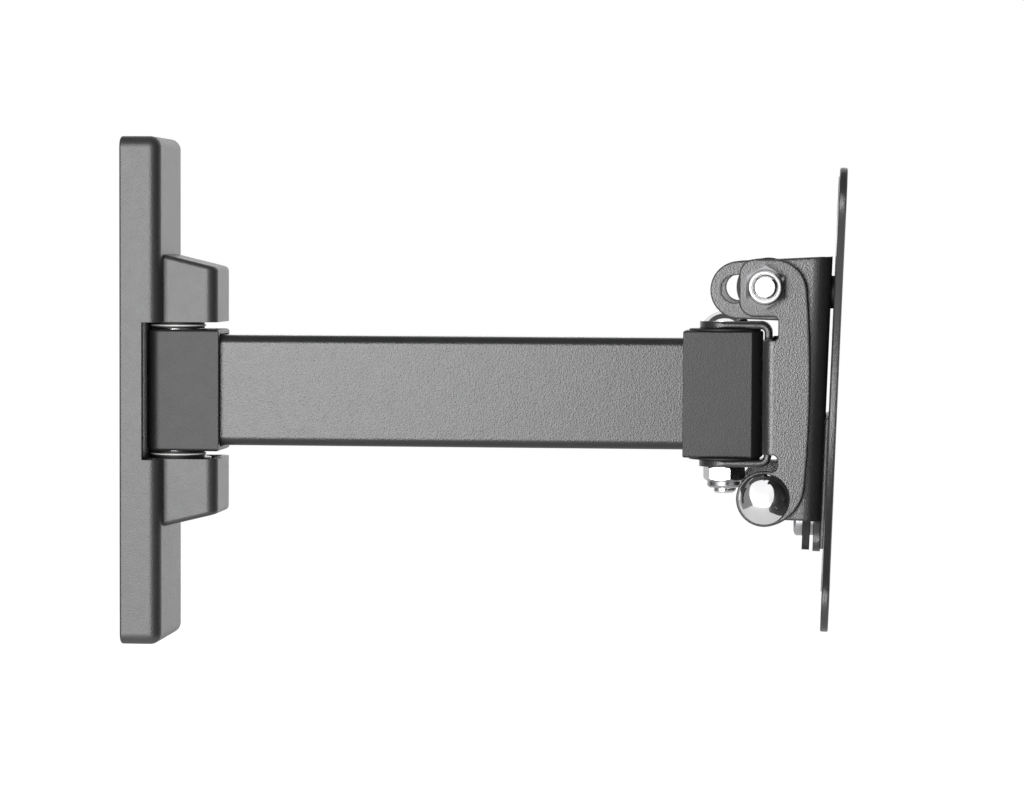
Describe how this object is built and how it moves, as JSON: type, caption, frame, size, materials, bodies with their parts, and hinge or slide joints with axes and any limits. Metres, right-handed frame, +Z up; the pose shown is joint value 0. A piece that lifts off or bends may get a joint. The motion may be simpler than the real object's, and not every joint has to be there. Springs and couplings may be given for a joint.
{
  "type": "swivel wall mount for a screen",
  "caption": "Swivel wall mount for a screen: a flat arm swings on a covered wall plate and carries a swivelling, tilting head with a square screen plate.",
  "frame": {"origin": "middle of the wall plate's back face, on the arm's centre line", "axes": "+X out of the wall along the arm, +Y sideways, +Z up"},
  "size_m": [0.1943, 0.118, 0.137],
  "materials": {
    "moulded_cover": "dark grey, fine grain",
    "coated_steel": "dark grey powder coat, satin",
    "zinc_steel": "bright zinc",
    "bright_bolt": "polished",
    "white_nylon": "natural nylon",
    "black_nylon": "black nylon"
  },
  "bodies": {
    "wall_base": {"wall_plate": "coated_steel", "pivot_ear_upper": "coated_steel", "pivot_ear_lower": "coated_steel", "ear_rivets": "zinc_steel", "wall_cover": "moulded_cover", "wall_pivot_pin": "zinc_steel", "pivot_pin_clip": "zinc_steel"},
    "arm": {"arm_tube": "coated_steel", "pivot_barrel": "zinc_steel", "pivot_bush_upper": "black_nylon", "pivot_bush_lower": "black_nylon", "wall_end_sleeve": "moulded_cover", "head_end_cap": "moulded_cover", "swivel_bush_upper": "black_nylon", "swivel_bush_lower": "black_nylon", "swivel_spacer": "zinc_steel"},
    "swivel_head": {"swivel_clevis": "coated_steel", "swivel_bolt": "bright_bolt", "swivel_nut": "zinc_steel", "swivel_nut_ring": "white_nylon", "tilt_pivot_bolt": "bright_bolt", "tilt_pivot_nut": "zinc_steel", "tilt_pivot_nut_ring": "white_nylon", "tilt_lock_bolt": "bright_bolt", "tilt_lock_nut": "zinc_steel", "tilt_lock_nut_ring": "white_nylon", "tilt_lock_washers": "black_nylon", "tilt_pivot_washers": "black_nylon"},
    "tilt_head": {"tilt_bracket": "coated_steel", "screen_plate": "coated_steel", "plate_spacers": "black_nylon", "spacer_strip": "coated_steel", "plate_rivets": "zinc_steel", "lock_plate": "coated_steel", "lock_washer": "zinc_steel", "lock_screw": "zinc_steel"}
  },
  "joints": [
    {"name": "arm_swivel", "type": "hinge", "parent": "wall_base", "child": "arm", "pos_m": [0.013, 0, 0], "axis": [0, 0, 1], "range_deg": [-90, 90]},
    {"name": "head_swivel", "type": "hinge", "parent": "arm", "child": "swivel_head", "pos_m": [0.1621, 0, 0], "axis": [0, 0, 1], "range_deg": [-90, 90]},
    {"name": "head_tilt", "type": "hinge", "parent": "swivel_head", "child": "tilt_head", "pos_m": [0.1733, 0, -0.0265], "axis": [0, 1, 0], "range_deg": [-6, 8]}
  ]
}
